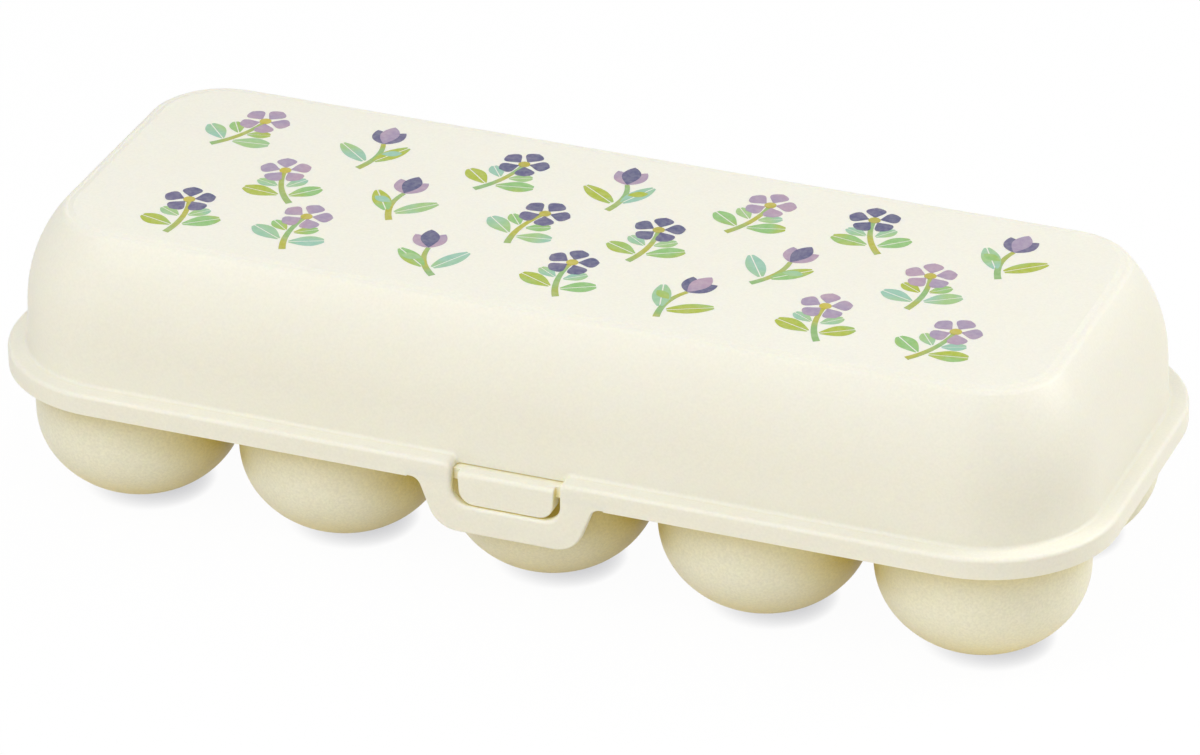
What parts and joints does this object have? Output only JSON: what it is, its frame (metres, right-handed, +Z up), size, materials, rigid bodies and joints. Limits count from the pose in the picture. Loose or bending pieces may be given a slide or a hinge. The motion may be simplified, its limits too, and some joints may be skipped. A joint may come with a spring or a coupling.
{
  "type": "egg keeper with flip lid",
  "caption": "Lidded egg keeper: a tray of round-bottomed cups under one deck, a domed lid on rear snap hinges and a front latch tongue that hooks under a catch.",
  "frame": {"origin": "on the table, under the middle of the closed keeper's bounding box", "axes": "+X along the length of the box, +Y to the hinge side, +Z up through the lid; the latch faces -Y"},
  "size_m": [0.26, 0.1124, 0.0686],
  "materials": {
    "ivory_plastic": "satin"
  },
  "bodies": {
    "tray": {"egg_cup_front_1": "ivory_plastic", "egg_cup_rear_1": "ivory_plastic", "egg_cup_front_2": "ivory_plastic", "egg_cup_rear_2": "ivory_plastic", "egg_cup_front_3": "ivory_plastic", "egg_cup_rear_3": "ivory_plastic", "egg_cup_front_4": "ivory_plastic", "egg_cup_rear_4": "ivory_plastic", "egg_cup_front_5": "ivory_plastic", "egg_cup_rear_5": "ivory_plastic", "tray_deck": "ivory_plastic"},
    "lid": {"lid": "ivory_plastic"},
    "latch": {"latch_tongue": "ivory_plastic"}
  },
  "joints": [
    {"name": "lid_hinge", "type": "hinge", "parent": "tray", "child": "lid", "pos_m": [0, 0.0533, 0.0343], "axis": [-1, 0, 0], "range_deg": [0, 180]},
    {"name": "latch_flex", "type": "hinge", "parent": "lid", "child": "latch", "pos_m": [0, -0.0562, 0.0316], "axis": [-1, 0, 0], "range_deg": [0, 15], "stiffness_Nm_per_rad": 0.4}
  ]
}
